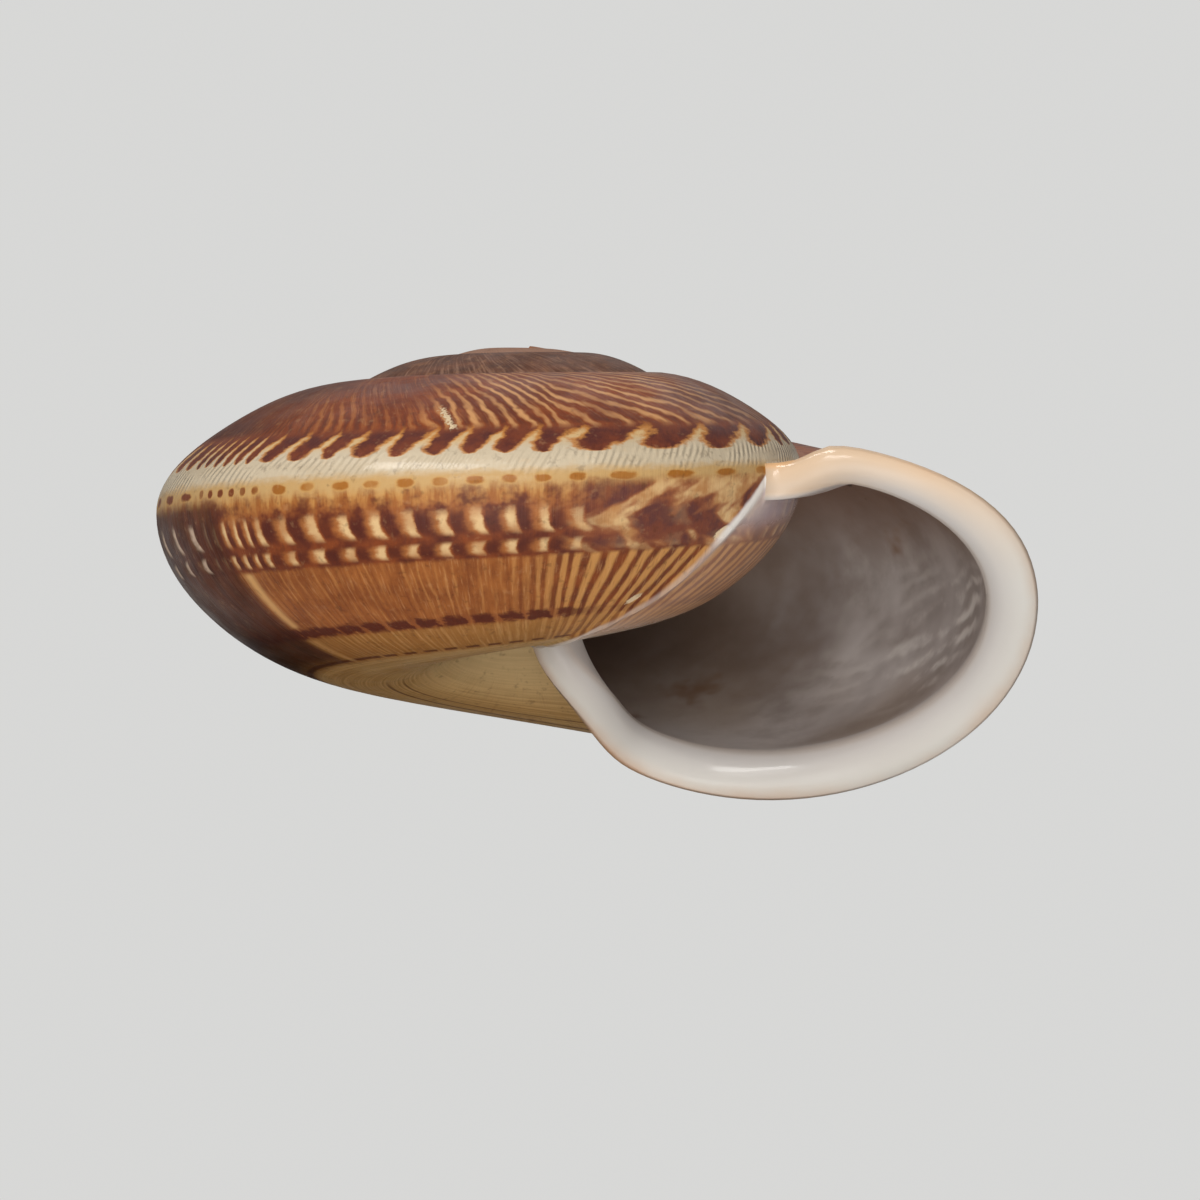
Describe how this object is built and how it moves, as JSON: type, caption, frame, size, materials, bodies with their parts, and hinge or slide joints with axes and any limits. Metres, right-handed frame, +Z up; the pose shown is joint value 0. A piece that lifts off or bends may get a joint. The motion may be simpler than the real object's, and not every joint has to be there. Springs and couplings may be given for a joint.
{
  "type": "snail shell",
  "caption": "Low-spired right-handed land snail shell, brown stripes and flames round a cream band, white turned-out lip.",
  "frame": {"origin": "middle of the footprint on the ground, with the shell resting on its base and lip, mouth towards -Y", "axes": "+X along the width, from the rounded side of the last whorl towards the lip; +Y away from the viewer who looks into the mouth; +Z up from the ground towards the spire"},
  "size_m": [0.0318, 0.027, 0.0141],
  "materials": {
    "shell": "satin, with a glossy white lip"
  },
  "bodies": {
    "root": {"shell": "shell"}
  },
  "joints": []
}
